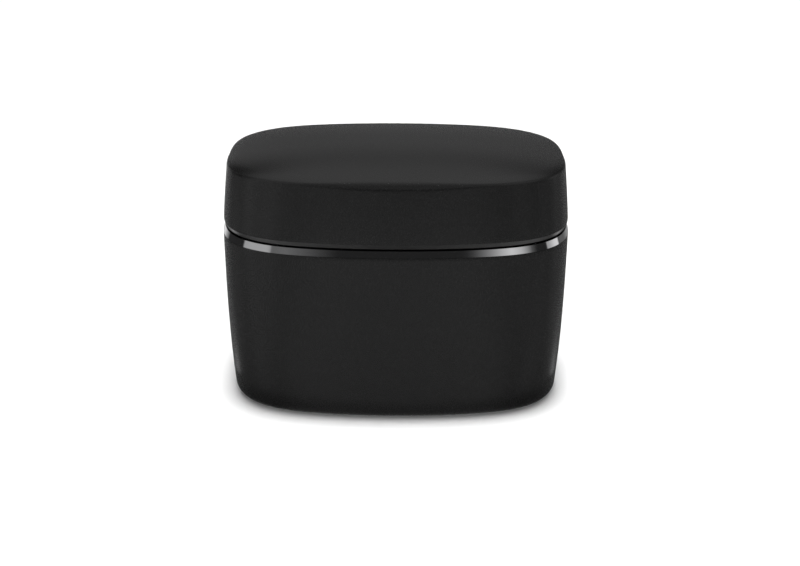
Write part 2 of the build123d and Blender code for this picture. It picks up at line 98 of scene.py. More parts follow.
def coords(nt, scale=(1.0, 1.0, 1.0)):
    tc = nt.nodes.new("ShaderNodeTexCoord")
    mp = nt.nodes.new("ShaderNodeMapping")
    mp.inputs["Scale"].default_value = scale
    nt.links.new(tc.outputs["Object"], mp.inputs["Vector"])
    return mp.outputs["Vector"]


def noise(nt, vec, scale, detail=3.0, rough=0.55):
    n = nt.nodes.new("ShaderNodeTexNoise")
    n.inputs["Scale"].default_value = scale
    n.inputs["Detail"].default_value = detail
    n.inputs["Roughness"].default_value = rough
    nt.links.new(vec, n.inputs["Vector"])
    return n.outputs["Fac"]


def ramp(nt, fac, stops, interp="LINEAR"):
    r = nt.nodes.new("ShaderNodeValToRGB")
    r.color_ramp.interpolation = interp
    while len(r.color_ramp.elements) < len(stops):
        r.color_ramp.elements.new(0.5)
    for e, (p, c) in zip(r.color_ramp.elements, stops):
        e.position = p
        e.color = (c[0], c[1], c[2], 1.0) if hasattr(c, "__len__") else (c, c, c, 1.0)
    nt.links.new(fac, r.inputs["Fac"])
    return r.outputs["Color"]


def map_range(nt, fac, lo, hi):
    r = nt.nodes.new("ShaderNodeMapRange")
    r.inputs["From Min"].default_value = 0.3
    r.inputs["From Max"].default_value = 0.7
    r.inputs["To Min"].default_value = lo
    r.inputs["To Max"].default_value = hi
    nt.links.new(fac, r.inputs["Value"])
    return r.outputs["Result"]


def bump(nt, bsdf, height, strength, distance):
    b = nt.nodes.new("ShaderNodeBump")
    b.inputs["Strength"].default_value = strength
    b.inputs["Distance"].default_value = distance
    nt.links.new(height, b.inputs["Height"])
    nt.links.new(b.outputs["Normal"], bsdf.inputs["Normal"])
    return b


def finish_material(name, dark, light, rough, metallic=0.0, spec=0.5, grain=2500.0, grain_h=0.00001, grain_s=0.3,
                    mottle=60.0, coat=0.0, coat_rough=0.1, stretch=(1.0, 1.0, 1.0), ior=1.5, transmission=0.0, aniso=0.0):
    m, nt, b = new_material(name)
    v = coords(nt, stretch)
    slow = noise(nt, v, mottle, 4.0)
    fine = noise(nt, v, grain, 2.0, 0.6)
    nt.links.new(ramp(nt, slow, [(0.30, dark), (0.70, light)]), b.inputs["Base Color"])
    nt.links.new(map_range(nt, fine, rough[0], rough[1]), b.inputs["Roughness"])
    b.inputs["Metallic"].default_value = metallic
    b.inputs["Specular IOR Level"].default_value = spec
    b.inputs["IOR"].default_value = ior
    b.inputs["Coat Weight"].default_value = coat
    b.inputs["Coat Roughness"].default_value = coat_rough
    b.inputs["Transmission Weight"].default_value = transmission
    b.inputs["Anisotropic"].default_value = aniso
    bump(nt, b, fine, grain_s, grain_h)
    return m


MAT = {}
MAT["soft_touch_black"] = finish_material("soft_touch_black", (0.0038, 0.0038, 0.0038), (0.0044, 0.0044, 0.0044), (0.255, 0.285),
                                          spec=0.35, grain=5200.0, grain_h=0.000002, grain_s=0.06, mottle=35.0)
# the soft-touch black painted lighter for the lid's downward-facing chamfer: painted light standing in for light caught
# there; its higher specular level is a finish setting
MAT["lid_lip_painted_light"] = finish_material("lid_lip_painted_light", (0.0062, 0.0062, 0.0062), (0.0072, 0.0072, 0.0072), (0.27, 0.31),
                                 spec=0.45, grain=5200.0, grain_h=0.000002, grain_s=0.06, mottle=35.0)
MAT["dark_chrome"] = finish_material("dark_chrome", (0.66, 0.66, 0.67), (0.70, 0.70, 0.71), (0.045, 0.07),
                                     metallic=1.0, spec=0.5, grain=900.0, grain_h=0.000001, grain_s=0.02, mottle=20.0)
MAT["tray_black"] = finish_material("tray_black", (0.020, 0.020, 0.021), (0.026, 0.026, 0.027), (0.38, 0.46),
                                    spec=0.4, grain=3600.0, grain_h=0.000006, grain_s=0.35, mottle=50.0)
MAT["well_gloss_black"] = finish_material("well_gloss_black", (0.010, 0.010, 0.011), (0.013, 0.013, 0.014), (0.10, 0.15),
                                          spec=0.5, grain=1800.0, grain_h=0.000001, grain_s=0.05, mottle=60.0)
MAT["marker_blue"] = finish_material("marker_blue", (0.010, 0.075, 0.40), (0.014, 0.10, 0.48), (0.18, 0.26), grain=2600.0, grain_h=0.000002, grain_s=0.1)
MAT["marker_red"] = finish_material("marker_red", (0.42, 0.010, 0.014), (0.52, 0.014, 0.018), (0.18, 0.26), grain=2600.0, grain_h=0.000002, grain_s=0.1)
MAT["black_rubber"] = finish_material("black_rubber", (0.010, 0.010, 0.010), (0.018, 0.018, 0.018), (0.62, 0.75),
                                      spec=0.3, grain=2400.0, grain_h=0.000012, grain_s=0.5)
MAT["screw_steel"] = finish_material("screw_steel", (0.42, 0.42, 0.43), (0.56, 0.56, 0.57), (0.24, 0.36), metallic=1.0, grain=3000.0, grain_h=0.000004, grain_s=0.2)
MAT["hinge_metal"] = finish_material("hinge_metal", (0.018, 0.018, 0.019), (0.026, 0.026, 0.027), (0.32, 0.40),
                                     spec=0.5, grain=3000.0, grain_h=0.000006, grain_s=0.35)
MAT["inlet_steel"] = finish_material("inlet_steel", (0.50, 0.50, 0.52), (0.60, 0.60, 0.62), (0.20, 0.30), metallic=1.0, grain=2500.0,
                                     grain_h=0.000003, grain_s=0.2, stretch=(1.0, 0.06, 1.0))
MAT["connector_black"] = finish_material("connector_black", (0.012, 0.012, 0.012), (0.018, 0.018, 0.018), (0.40, 0.50), grain=3000.0)
MAT["connector_white"] = finish_material("connector_white", (0.66, 0.64, 0.58), (0.74, 0.72, 0.66), (0.38, 0.48), grain=3000.0)
MAT["board_green"] = finish_material("board_green", (0.004, 0.055, 0.022), (0.006, 0.080, 0.032), (0.22, 0.32), grain=1400.0, mottle=220.0)
MAT["chip_black"] = finish_material("chip_black", (0.014, 0.014, 0.015), (0.022, 0.022, 0.023), (0.45, 0.55), grain=4200.0, grain_h=0.000008, grain_s=0.4)
MAT["ferrite_grey"] = finish_material("ferrite_grey", (0.035, 0.035, 0.037), (0.060, 0.060, 0.063), (0.48, 0.60), grain=3600.0, grain_h=0.00001, grain_s=0.5)
MAT["capacitor_tan"] = finish_material("capacitor_tan", (0.25, 0.16, 0.09), (0.36, 0.24, 0.14), (0.35, 0.45), grain=3600.0)
MAT["coil_copper"] = finish_material("coil_copper", (0.50, 0.17, 0.06), (0.68, 0.27, 0.11), (0.22, 0.34), metallic=1.0, grain=3600.0, grain_h=0.00001, grain_s=0.6)
MAT["frame_grey"] = finish_material("frame_grey", (0.060, 0.060, 0.065), (0.085, 0.085, 0.090), (0.42, 0.52), grain=3000.0)
MAT["cell_wrap"] = finish_material("cell_wrap", (0.40, 0.41, 0.43), (0.52, 0.53, 0.55), (0.25, 0.38), metallic=0.6, grain=900.0, grain_h=0.00002, grain_s=0.4)
MAT["tape_white"] = finish_material("tape_white", (0.66, 0.66, 0.64), (0.76, 0.76, 0.74), (0.60, 0.72), grain=2600.0)
MAT["wire_red"] = finish_material("wire_red", (0.42, 0.010, 0.010), (0.52, 0.014, 0.014), (0.30, 0.40), grain=2600.0)
MAT["wire_black"] = finish_material("wire_black", (0.010, 0.010, 0.010), (0.016, 0.016, 0.016), (0.30, 0.40), grain=2600.0)
MAT["ribbon_amber"] = finish_material("ribbon_amber", (0.34, 0.12, 0.012), (0.44, 0.17, 0.020), (0.18, 0.28), grain=1600.0)
MAT["led_body"] = finish_material("led_body", (0.72, 0.70, 0.55), (0.80, 0.78, 0.64), (0.20, 0.30), grain=1600.0)
MAT["light_pipe"] = finish_material("light_pipe", (0.50, 0.52, 0.53), (0.58, 0.60, 0.61), (0.16, 0.24), grain=1600.0, spec=0.5, transmission=0.35,
                                    grain_h=0.000002, grain_s=0.1)
MAT["magnet_nickel"] = finish_material("magnet_nickel", (0.50, 0.49, 0.46), (0.60, 0.59, 0.56), (0.14, 0.24), metallic=1.0, grain=1800.0)
MAT["contact_gold"] = finish_material("contact_gold", (0.62, 0.42, 0.14), (0.74, 0.52, 0.20), (0.18, 0.28), metallic=1.0, grain=2600.0, grain_h=0.000002, grain_s=0.2)
MAT["plate_grey"] = finish_material("plate_grey", (0.055, 0.055, 0.058), (0.070, 0.070, 0.074), (0.36, 0.44), grain=3600.0, grain_h=0.000003, grain_s=0.25)

slot_of = {s["node"]: s["material_slot"] for s in frame["record"]["subparts"]}


def dress(obj, material):
    obj.data.materials.clear()
    obj.data.materials.append(MAT[material])


for n, o in nodes.items():
    dress(o, slot_of[n])


# ---------------------------------------------------------------- mesh building
def outline_angles(count):
    t = np.linspace(0.0, 2 * math.pi, 20001)
    x = HALF_W * np.sign(np.cos(t)) * np.abs(np.cos(t)) ** (2 / PLAN_N)
    y = HALF_D * np.sign(np.sin(t)) * np.abs(np.sin(t)) ** (2 / PLAN_N)
    run = np.concatenate([[0.0], np.cumsum(np.hypot(np.diff(x), np.diff(y)))])
    return np.interp(np.arange(count) * run[-1] / count, run, t)


def swell(u):
    """How much the long sides bow out at a share of the half width: a little at the middle, a little less beside it."""
    v = u * u
    return 1 + (1 - v) ** 2 * (0.24 - 4.96 * v + 7.14 * v ** 2 - 2.1 * v ** 3) / HALF_D


THETA = outline_angles(SEG)
CX = np.sign(np.cos(THETA)) * np.abs(np.cos(THETA)) ** (2 / PLAN_N)
CY = np.sign(np.sin(THETA)) * np.abs(np.sin(THETA)) ** (2 / PLAN_N) * swell(CX)


def ring(inset, z):
    """Points of one level in millimetres; inset and z are numbers or arrays round the ring."""
    one = np.ones(SEG)
    return np.stack([(HALF_W - inset) * CX, (HALF_D - inset) * CY, z * one], 1)


def ring_ab(a, b, z):
    return np.stack([a * CX, b * CY, z * np.ones(SEG)], 1)


def base_inset(z):
    t = (z - Z_FLOOR - BOTTOM_R) / (Z_BASE_TOP - Z_FLOOR - BOTTOM_R)
    return FOOT_TAPER * (1 - min(max(t, 0.0), 1.0)) ** TAPER_P


def lid_inset(z):
    t = np.maximum((z - Z_LID_CH) / (Z_LID_EDGE - Z_LID_CH), 0.0)
    return LID_CH_IN + (LID_TOP_IN - LID_CH_IN) * t ** LID_WALL_P


def mesh_from(name, rings, loop=False, cap_first=False, cap_last=False):
    """Closed mesh from rings of SEG points, in millimetres."""
    verts = np.concatenate(rings) * MM
    count = len(rings)
    faces = []
    rows = count if loop else count - 1
    for r in range(rows):
        a, b = r * SEG, ((r + 1) % count) * SEG
        for k in range(SEG):
            k2 = (k + 1) % SEG
            faces.append((a + k, a + k2, b + k2, b + k))
    verts = [tuple(v) for v in verts]
    if cap_first:
        c = len(verts)
        verts.append(tuple(rings[0].mean(0) * MM))
        faces += [(c, (k + 1) % SEG, k) for k in range(SEG)]
    if cap_last:
        c = len(verts)
        verts.append(tuple(rings[-1].mean(0) * MM))
        off = (count - 1) * SEG
        faces += [(c, off + k, off + (k + 1) % SEG) for k in range(SEG)]
    me = bpy.data.meshes.new(name)
    me.from_pydata(verts, [], faces)
    me.validate()
    obj = bpy.data.objects.new(name, me)
    scene.collection.objects.link(obj)
    fix_normals(obj)
    return obj


def fix_normals(obj):
    bm = bmesh.new()
    bm.from_mesh(obj.data)
    bmesh.ops.recalc_face_normals(bm, faces=bm.faces)
    bm.to_mesh(obj.data)
    bm.free()


def block(name, x0, x1, y0, y1, z0, z1):
    bm = bmesh.new()
    bmesh.ops.create_cube(bm, size=1.0)
    for v in bm.verts:
        v.co = Vector(((x0 + x1) / 2 + v.co.x * (x1 - x0), (y0 + y1) / 2 + v.co.y * (y1 - y0), (z0 + z1) / 2 + v.co.z * (z1 - z0))) * MM
    me = bpy.data.meshes.new(name)
    bm.to_mesh(me)
    bm.free()
    obj = bpy.data.objects.new(name, me)
    scene.collection.objects.link(obj)
    return obj


def rod(name, axis, c, lo, hi, r, seg=96):
    bm = bmesh.new()
    bmesh.ops.create_cone(bm, cap_ends=True, segments=seg, radius1=r * MM, radius2=r * MM, depth=(hi - lo) * MM)
    mid = (lo + hi) / 2 * MM
    if axis == "X":
        m = Matrix.Translation((mid, c[0] * MM, c[1] * MM)) @ Matrix.Rotation(math.pi / 2, 4, "Y")
    elif axis == "Y":
        m = Matrix.Translation((c[0] * MM, mid, c[1] * MM)) @ Matrix.Rotation(math.pi / 2, 4, "X")
    else:
        m = Matrix.Translation((c[0] * MM, c[1] * MM, mid))
    bmesh.ops.transform(bm, matrix=m, verts=bm.verts)
    me = bpy.data.meshes.new(name)
    bm.to_mesh(me)
    bm.free()
    obj = bpy.data.objects.new(name, me)
    scene.collection.objects.link(obj)
    return obj


def stadium(hx, hz, r, seg=24):
    pts = []
    for cx, cz, a0 in ((hx - r, hz - r, 0.0), (-hx + r, hz - r, 90.0), (-hx + r, -hz + r, 180.0), (hx - r, -hz + r, 270.0)):
        for i in range(seg + 1):
            a = math.radians(a0 + 90.0 * i / seg)
            pts.append((cx + r * math.cos(a), cz + r * math.sin(a)))
    return pts


def bar(name, axis, c, sections, seg=24):
    """Rounded bar along an axis; sections are (position, half width, half height, corner radius)."""
    verts, faces = [], []
    size = None
    for pos, hx, hz, r in sections:
        p = stadium(hx, hz, r, seg)
        size = len(p)
        for u, w in p:
            if axis == "Y":
                verts.append(((c[0] + u) * MM, pos * MM, (c[1] + w) * MM))
            else:
                verts.append(((c[0] + u) * MM, (c[1] + w) * MM, pos * MM))
    for s in range(len(sections) - 1):
        for k in range(size):
            k2 = (k + 1) % size
            faces.append((s * size + k, s * size + k2, (s + 1) * size + k2, (s + 1) * size + k))
    faces.append(tuple(range(size))[::-1])
    off = (len(sections) - 1) * size
    faces.append(tuple(off + k for k in range(size)))
    me = bpy.data.meshes.new(name)
    me.from_pydata(verts, [], faces)
    obj = bpy.data.objects.new(name, me)
    scene.collection.objects.link(obj)
    fix_normals(obj)
    return obj


def boolean(obj, cutter, op="DIFFERENCE"):
    mod = obj.modifiers.new("cut", "BOOLEAN")
    mod.operation = op
    mod.solver = "EXACT"
    mod.object = cutter
    dg = bpy.context.evaluated_depsgraph_get()
    me = bpy.data.meshes.new_from_object(obj.evaluated_get(dg))
    obj.modifiers.clear()
    old = obj.data
    obj.data = me
    bpy.data.meshes.remove(old)
    mesh = cutter.data
    bpy.data.objects.remove(cutter)
    bpy.data.meshes.remove(mesh)


def smooth(obj, angle=30.0):
    for p in obj.data.polygons:
        p.use_smooth = True
    obj.data.set_sharp_from_angle(angle=math.radians(angle))


def piece(obj, body, material, *replaced, angle=30.0):
    smooth(obj, angle)
    if material:
        dress(obj, material)
    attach(obj, body)
    if replaced:
        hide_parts(*replaced)


def object_from(name, verts, faces):
    me = bpy.data.meshes.new(name)
    me.from_pydata([tuple(np.array(v) * MM) for v in verts], [], faces)
    me.validate()
    obj = bpy.data.objects.new(name, me)
    scene.collection.objects.link(obj)
    fix_normals(obj)
    return obj


def lathe(name, axis, c, profile, seg=96):
    """Turned solid; profile is (radius, position along the axis) from one end to the other."""
    verts, faces = [], []
    for r, p in profile:
        for k in range(seg):
            a = 2 * math.pi * k / seg
            u, w = r * math.cos(a), r * math.sin(a)
            verts.append({"X": (p, c[0] + u, c[1] + w), "Y": (c[0] + u, p, c[1] + w), "Z": (c[0] + u, c[1] + w, p)}[axis])
    for s in range(len(profile) - 1):
        for k in range(seg):
            k2 = (k + 1) % seg
            faces.append((s * seg + k, s * seg + k2, (s + 1) * seg + k2, (s + 1) * seg + k))
    faces.append(tuple(range(seg))[::-1])
    off = (len(profile) - 1) * seg
    faces.append(tuple(off + k for k in range(seg)))
    return object_from(name, verts, faces)


def extrude_x(name, outline, x0, x1):
    """Prism along X from an outline of (y, z) points."""
    n = len(outline)
    verts = [(x, y, z) for x in (x0, x1) for y, z in outline]
    faces = [(k, (k + 1) % n, n + (k + 1) % n, n + k) for k in range(n)]
    faces += [tuple(range(n))[::-1], tuple(range(n, 2 * n))]
    return object_from(name, verts, faces)


def join(name, *objs):
    bm = bmesh.new()
    for o in objs:
        bm.from_mesh(o.data)
    me = bpy.data.meshes.new(name)
    bm.to_mesh(me)
    bm.free()
    for o in objs:
        old = o.data
        bpy.data.objects.remove(o)
        bpy.data.meshes.remove(old)
    obj = bpy.data.objects.new(name, me)
    scene.collection.objects.link(obj)
    return obj


def quarter(r, count=6):
    """Steps round a quarter of a circle: (distance gone sideways, distance gone along)."""
    return [(r * (1 - math.cos(math.pi / 2 * i / count)), r * math.sin(math.pi / 2 * i / count)) for i in range(count + 1)]


def four(x, y):
    return [(sx * x, sy * y) for sx in (-1, 1) for sy in (-1, 1)]


# -------------------------------------------------------------------- base shell
prof = [(6.2, Z_FLOOR + 0.15), (6.35 - 0.3, Z_FLOOR), (5.2, Z_FLOOR)]
s0 = base_inset(Z_FLOOR + BOTTOM_R)
for i in range(15):
    a = math.pi / 2 * i / 14
    prof.append((s0 + BOTTOM_R * (1 - math.sin(a)), Z_FLOOR + BOTTOM_R * (1 - math.cos(a))))
for i in range(1, 41):
    z = Z_FLOOR + BOTTOM_R + (Z_BASE_TOP - 0.12 - Z_FLOOR - BOTTOM_R) * i / 40
    prof.append((base_inset(z), z))
prof += [(0.035, Z_BASE_TOP - 0.035), (0.12, Z_BASE_TOP), (1.15, Z_BASE_TOP), (1.2, Z_BASE_TOP - 0.05), (1.2, 47.4), (WALL, 47.4)]
for z in (42.0, 33.0, 24.5, 16.5, 9.5, 4.4):
    prof.append((base_inset(z) + WALL, z))
prof += [(8.0, 4.4), (8.0, 2.8), (6.2, 2.8)]
base = mesh_from("base_shell", [ring(s, z) for s, z in prof], loop=True)
boolean(base, block("c", -HINGE_CUT, HINGE_CUT, 24.0, 34.0, 50.1, 53.0))
boolean(base, block("c", -20.6, 20.6, 26.7, 29.95, 38.0, 50.1), "UNION")
boolean(base, bar("c", "Y", (0.0, Z_PORT), [(25.0, 4.75, 1.92, 1.9), (29.65, 4.75, 1.92, 1.9), (29.85, 4.80, 1.97, 1.95),
                                            (30.6, 5.5, 2.67, 2.6), (31.6, 6.5, 3.6, 3.5)]))
boolean(base, rod("c", "Y", (BUTTON_X, Z_PORT), 26.0, 34.0, BUTTON_R + 0.25, 128))
inner = [rod("u", "Z", (x, y), 2.85, 14.0, 3.0, 64) for x, y in four(34.5, 16.5)]
inner += [rod("u", "Z", (x, y), 41.0, 43.0, 5.5, 64) for x, y in four(37.5, 19.0)]
boolean(base, join("u", *inner), "UNION")
inner = [rod("c", "Z", (x, y), 2.0, 11.5, 0.9, 32) for x, y in four(34.5, 16.5)]
inner += [rod("c", "Z", (x, y), 40.0, 44.0, 1.2, 32) for x, y in four(37.5, 19.0)]
inner += [rod("c", "Y", (x, 44.0), 26.0, 29.9, 0.9, 32) for x in (-15.0, 15.0)]
boolean(base, join("c", *inner))
piece(base, "base", "soft_touch_black", "base_housing")

# --------------------------------------------------------------------- trim ring
slope = TRIM_BEVEL / (Z_TRIM_TOP - Z_BASE_TOP)
prof = [(1.3, 47.5), (1.3, Z_BASE_TOP + 0.02), (0.03, Z_BASE_TOP + 0.02), (0.012, Z_BASE_TOP + 0.03), (0.012 + 0.03 * slope, Z_BASE_TOP + 0.06)]
for i in range(1, 9):
    z = Z_BASE_TOP + 0.06 + (Z_TRIM_TOP - 0.06 - Z_BASE_TOP) * i / 8
    prof.append((0.012 + (z - Z_BASE_TOP - 0.03) * slope, z))
prof += [(0.62, Z_TRIM_TOP), (1.5, Z_TRIM_TOP), (2.45, Z_TRIM_TOP), (2.6, Z_TRIM_TOP - 0.15), (2.6, 47.5)]
trim = mesh_from("trim_band", [ring(s, z) for s, z in prof], loop=True)
boolean(trim, block("c", -HINGE_CUT, HINGE_CUT, 20.0, 34.0, 47.0, 53.0))
piece(trim, "base", "dark_chrome", "trim_ring", angle=24.0)

# --------------------------------------------------------------------- lid shell
AE, BE = HALF_W - LID_TOP_IN, HALF_D - LID_TOP_IN
# outward normal of the outline and how far a unit step of scale moves it
gx = np.sign(CX) * np.abs(CX) ** (PLAN_N - 1) / AE
gy = np.sign(CY) * np.abs(CY) ** (PLAN_N - 1) / BE
gl = np.hypot(gx, gy)
SUPPORT = (gx * AE * CX + gy * BE * CY) / gl

ROLL_W, ROLL_H = 4.0, 0.45      # width and height of the roll-over inside the edge
CROWN_H = DOME_H - ROLL_H


def crown(scale):
    """Height above the edge level at a scale of the outline, 1 at the edge and 0 at the middle."""
    w = (1.0 - scale) * SUPPORT
    q = np.clip(w / ROLL_W, 0.0, 1.0)
    return CROWN_H * (1 - np.abs(scale) ** DOME_P) + ROLL_H * (1 - (1 - q) ** 2.4)


def smoothstep(v, lo, hi):
    t = np.clip((v - lo) / (hi - lo), 0.0, 1.0)
    return t * t * (3 - 2 * t)


soft = 0.5 + 0.95 * (1 - smoothstep(np.abs(AE * CX), 5.0, 27.0))

rings = []
# inside, from the middle of the roof outwards and down
inner_scales = [0.001, 0.08, 0.2, 0.35, 0.5, 0.65, 0.78, 0.88, 0.93]
for q in inner_scales:
    rings.append(np.stack([AE * q * CX, BE * q * CY, Z_LID_EDGE + crown(q) - LID_ROOF], 1))
for z in (68.2, 66.5, 62.0, 58.0, Z_LID_CH, Z_LID_BOT + 0.1):
    rings.append(ring(lid_inset(z) + LID_WALL, z))
# lower rim and the chamfer
rings.append(ring(LID_CH_IN + LID_WALL - 0.1, Z_LID_BOT))
rings.append(ring(LID_BOT_IN + 0.15, Z_LID_BOT))
rings.append(ring(LID_BOT_IN + 0.03, Z_LID_BOT + 0.03))
lip_from = len(rings) - 1
for i in range(1, 6):
    t = i / 6
    rings.append(ring(LID_BOT_IN + (LID_CH_IN - LID_BOT_IN) * t, Z_LID_BOT + (Z_LID_CH - Z_LID_BOT) * t))
# a small rounding where the chamfer meets the wall
for i in range(5):
    t = i / 4
    p0 = np.array([LID_BOT_IN + (LID_CH_IN - LID_BOT_IN) * 0.90, Z_LID_BOT + (Z_LID_CH - Z_LID_BOT) * 0.90])
    p1 = np.array([LID_CH_IN, Z_LID_CH])
    p2 = np.array([float(lid_inset(Z_LID_CH + 0.25)), Z_LID_CH + 0.25])
    p = (1 - t) ** 2 * p0 + 2 * t * (1 - t) * p1 + t * t * p2
    rings.append(ring(p[0], p[1]))
lip_to = len(rings) - 4
# wall, then the blend over the edge, then the crown
STEPS_WALL, STEPS_EDGE, STEPS_TOP = 26, 14, 46
z_low = Z_LID_CH + 0.25
z_high = Z_LID_EDGE - soft * 1.0
for i in range(1, STEPS_WALL + 1):
    z = z_low + (z_high - z_low) * i / STEPS_WALL
    rings.append(ring(lid_inset(z), z))
q_high = 1.0 - soft * 1.15 / SUPPORT
p0 = ring(lid_inset(z_high), z_high)
p1 = ring(LID_TOP_IN, Z_LID_EDGE)
p2 = np.stack([AE * q_high * CX, BE * q_high * CY, Z_LID_EDGE + crown(q_high)], 1)
for i in range(1, STEPS_EDGE):
    t = i / STEPS_EDGE
    rings.append((1 - t) ** 2 * p0 + 2 * t * (1 - t) * p1 + t * t * p2)
for i in range(STEPS_TOP):
    t = i / STEPS_TOP
    q = q_high * (1 - t ** 1.35)
    rings.append(np.stack([AE * q * CX, BE * q * CY, Z_LID_EDGE + crown(q)], 1))
lid = mesh_from("lid_shell", rings, cap_first=True, cap_last=True)
dress(lid, "soft_touch_black")
boolean(lid, block("u", -11.0, 11.0, 27.1, 29.0, 56.2, 64.0), "UNION")
boolean(lid, join("c", *[rod("c", "Y", (x, 60.0), 26.0, 29.1, 0.85, 32) for x in (-7.0, 7.0)]))
boolean(lid, rod("c", "X", (AX_Y, AX_Z), -HINGE_CUT, HINGE_CUT, KNUCKLE_R + 0.35, 128))
boolean(lid, block("c", -HINGE_CUT, HINGE_CUT, 25.0, 34.0, 50.0, AX_Z))
lid.data.materials.clear()
lid.data.materials.append(MAT["soft_touch_black"])
lid.data.materials.append(MAT["lid_lip_painted_light"])
# chamfer faces that point downwards take the lighter copy of the black: painted light
for p in lid.data.polygons:
    c = p.center / MM
    p.material_index = 1 if (Z_LID_BOT - 0.2 < c.z < Z_LID_CH + 0.02 and abs(p.normal.z) > 0.2 and p.normal.z < 0) else 0
piece(lid, "lid", None, "lid_outer_shell", angle=26.0)

# ------------------------------------------------------------------ charging tray
TRAY_IN, PLATEAU_IN = 2.75, 3.80
Z_TRAY_BOT, Z_STEP, Z_TRAY = 48.9, 50.5, 51.6
WELL_X = 27.0

prof = [(TRAY_IN + 0.15, Z_TRAY_BOT), (TRAY_IN, Z_TRAY_BOT + 0.15), (TRAY_IN, Z_STEP - 0.08), (TRAY_IN + 0.08, Z_STEP), (PLATEAU_IN, Z_STEP)]
prof += [(PLATEAU_IN + u, Z_TRAY - 0.38 + v) for u, v in quarter(0.38)]
prof += [(6.0, Z_TRAY)]
tray = mesh_from("tray", [ring(s, z) for s, z in prof], cap_first=True, cap_last=True)
under = [bar("u", "Z", (0, 0), [(39.8, 13.2, 12.2, 8.2), (40.2, 13.9, 12.9, 8.9), (49.1, 14.0, 13.0, 9.0)])]
under += [rod("u", "Z", (x, y), 43.05, 49.1, 2.4, 64) for x, y in four(37.5, 19.0)]
under += [rod("u", "Z", (x, -21.0), 45.55, 49.1, 2.2, 64) for x in (-16.0, 16.0)]
boolean(tray, join("u", *under), "UNION")
under = [block("u", min(s * 13.0, s * 20.65), max(s * 13.0, s * 20.65), -3.2, 3.2, 46.9, 49.1) for s in (-1, 1)]
under += [block("u", x - 6.8, x + 6.8, -27.3, -24.1, 44.4, 49.1) for x in (-13.0, 13.0)]
boolean(tray, join("u", *under), "UNION")

pocket = [(41.3 + 3.0 - v, 12.5 - u, 11.5 - u, 8.0 - u) for u, v in reversed(quarter(3.0, 12))]
pocket += [(Z_TRAY - 0.5 + v, 12.5 + u, 11.5 + u, 8.0 + u) for u, v in quarter(0.5, 8)]
pocket += [(53.0, 13.0, 12.0, 8.5)]
cuts = [bar("c", "Z", (0, 0), pocket, 48)]
for s in (-1, 1):
    cuts.append(bar("c", "Z", (s * WELL_X, 0), [(40.0, 6.2, 9.4, 5.9), (50.65, 6.2, 9.4, 5.9), (50.65, 7.3, 10.5, 7.0), (53.0, 7.3, 10.5, 7.0)], 32))
    cuts.append(bar("c", "Z", (s * WELL_X, -15.6), [(51.05, 2.56, 0.86, 0.76), (Z_TRAY - 0.08, 2.56, 0.86, 0.76), (Z_TRAY + 0.02, 2.66, 0.96, 0.86), (53.0, 2.66, 0.96, 0.86)]))
for x in (-WELL_X, -6.0, 0.0, 6.0, WELL_X):
    cuts.append(lathe("c", "Z", (x, -21.0), [(1.10, 45.0), (1.10, Z_TRAY - 0.10), (1.22, Z_TRAY + 0.02), (1.22, 53.0)], 64))
cuts += [rod("c", "Z", (x, -21.0), 45.0, 48.6, 0.8, 32) for x in (-16.0, 16.0)]
cuts += [block("c", x - 6.1, x + 6.1, -26.9, -24.5, 44.0, 48.8) for x in (-13.0, 13.0)]
cuts += [rod("c", "Z", (x, y), 42.0, 48.0, 0.85, 32) for x, y in four(37.5, 19.0)]
boolean(tray, join("c", *cuts))


def channel(s, name="c"):
    half, floor_z, r, rim = 1.9, 48.3, 1.5, 0.35
    right_side = [(half - r + r * math.sin(a), floor_z + r - r * math.cos(a)) for a in (math.pi / 2 * i / 8 for i in range(9))]
    right_side += [(half + u, Z_TRAY - rim + v) for u, v in quarter(rim, 5)]
    right_side += [(half + rim, 53.5)]
    outline = right_side + [(-y, z) for y, z in reversed(right_side)]
    return extrude_x(name, outline, min(s * 11.0, s * 24.0), max(s * 11.0, s * 24.0))


boolean(tray, join("c", channel(-1), channel(1), block("c", -21.0, 21.0, 25.0, 34.0, 44.0, 53.0)))
piece(tray, "base", "tray_black", "charging_tray", angle=30.0)

# --------------------------------------------------------- wells, markers, pipes
mouth = []
for i in range(13):
    t = i / 12
    h = (1 - t) ** 2 * 6.02 + 2 * t * (1 - t) * 4.92 + t * t * 4.78
    mouth.append(((1 - t) ** 2 * Z_TRAY + 2 * t * (1 - t) * 51.25 + t * t * 49.7, h, h + 3.2, h - 0.3))
for side, s in (("left", -1), ("right", 1)):
    sections = [(29.8, 5.0, 8.0, 4.7), (30.2, 5.4, 8.4, 5.1), (50.7, 5.95, 9.15, 5.65), (50.7, 7.1, 10.3, 6.8), (50.8, 7.2, 10.4, 6.9), (Z_TRAY - 0.15, 7.2, 10.4, 6.9),
                (Z_TRAY - 0.04, 7.16, 10.36, 6.86), (Z_TRAY, 7.05, 10.25, 6.75)] + mouth
    sections += [(40.0, 4.50, 7.60, 4.2)]
    sections += [(31.0 + 1.6 - v, 4.25 - u, 7.27 - u, 3.95 - u) for u, v in quarter(1.6, 10)]
    well = bar(side + "_well", "Z", (s * WELL_X, 0), sections, 40)
    boolean(well, channel(s))
    piece(well, "base", "well_gloss_black", side + "_charging_well", angle=30.0)
    tip = bar(side + "_marker", "Z", (s * WELL_X, -15.6), [(51.1, 2.45, 0.75, 0.65), (51.15, 2.5, 0.8, 0.7), (51.48, 2.5, 0.8, 0.7),
                                                           (51.57, 2.44, 0.74, 0.64), (51.62, 2.25, 0.55, 0.45)], 16)
    piece(tip, "base", slot_of[side + "_side_marker"], side + "_side_marker", angle=40.0)


def pipe(x):
    return lathe("p", "Z", (x, -21.0), [(0.95, 46.35), (1.0, 46.40), (1.0, 47.3), (1.65, 47.3), (1.7, 47.35), (1.7, 48.75), (1.65, 48.8), (1.0, 48.8), (1.0, 51.45),
                                       (0.96, 51.53), (0.85, 51.58), (0.60, 51.61), (0.30, 51.62)], 64)


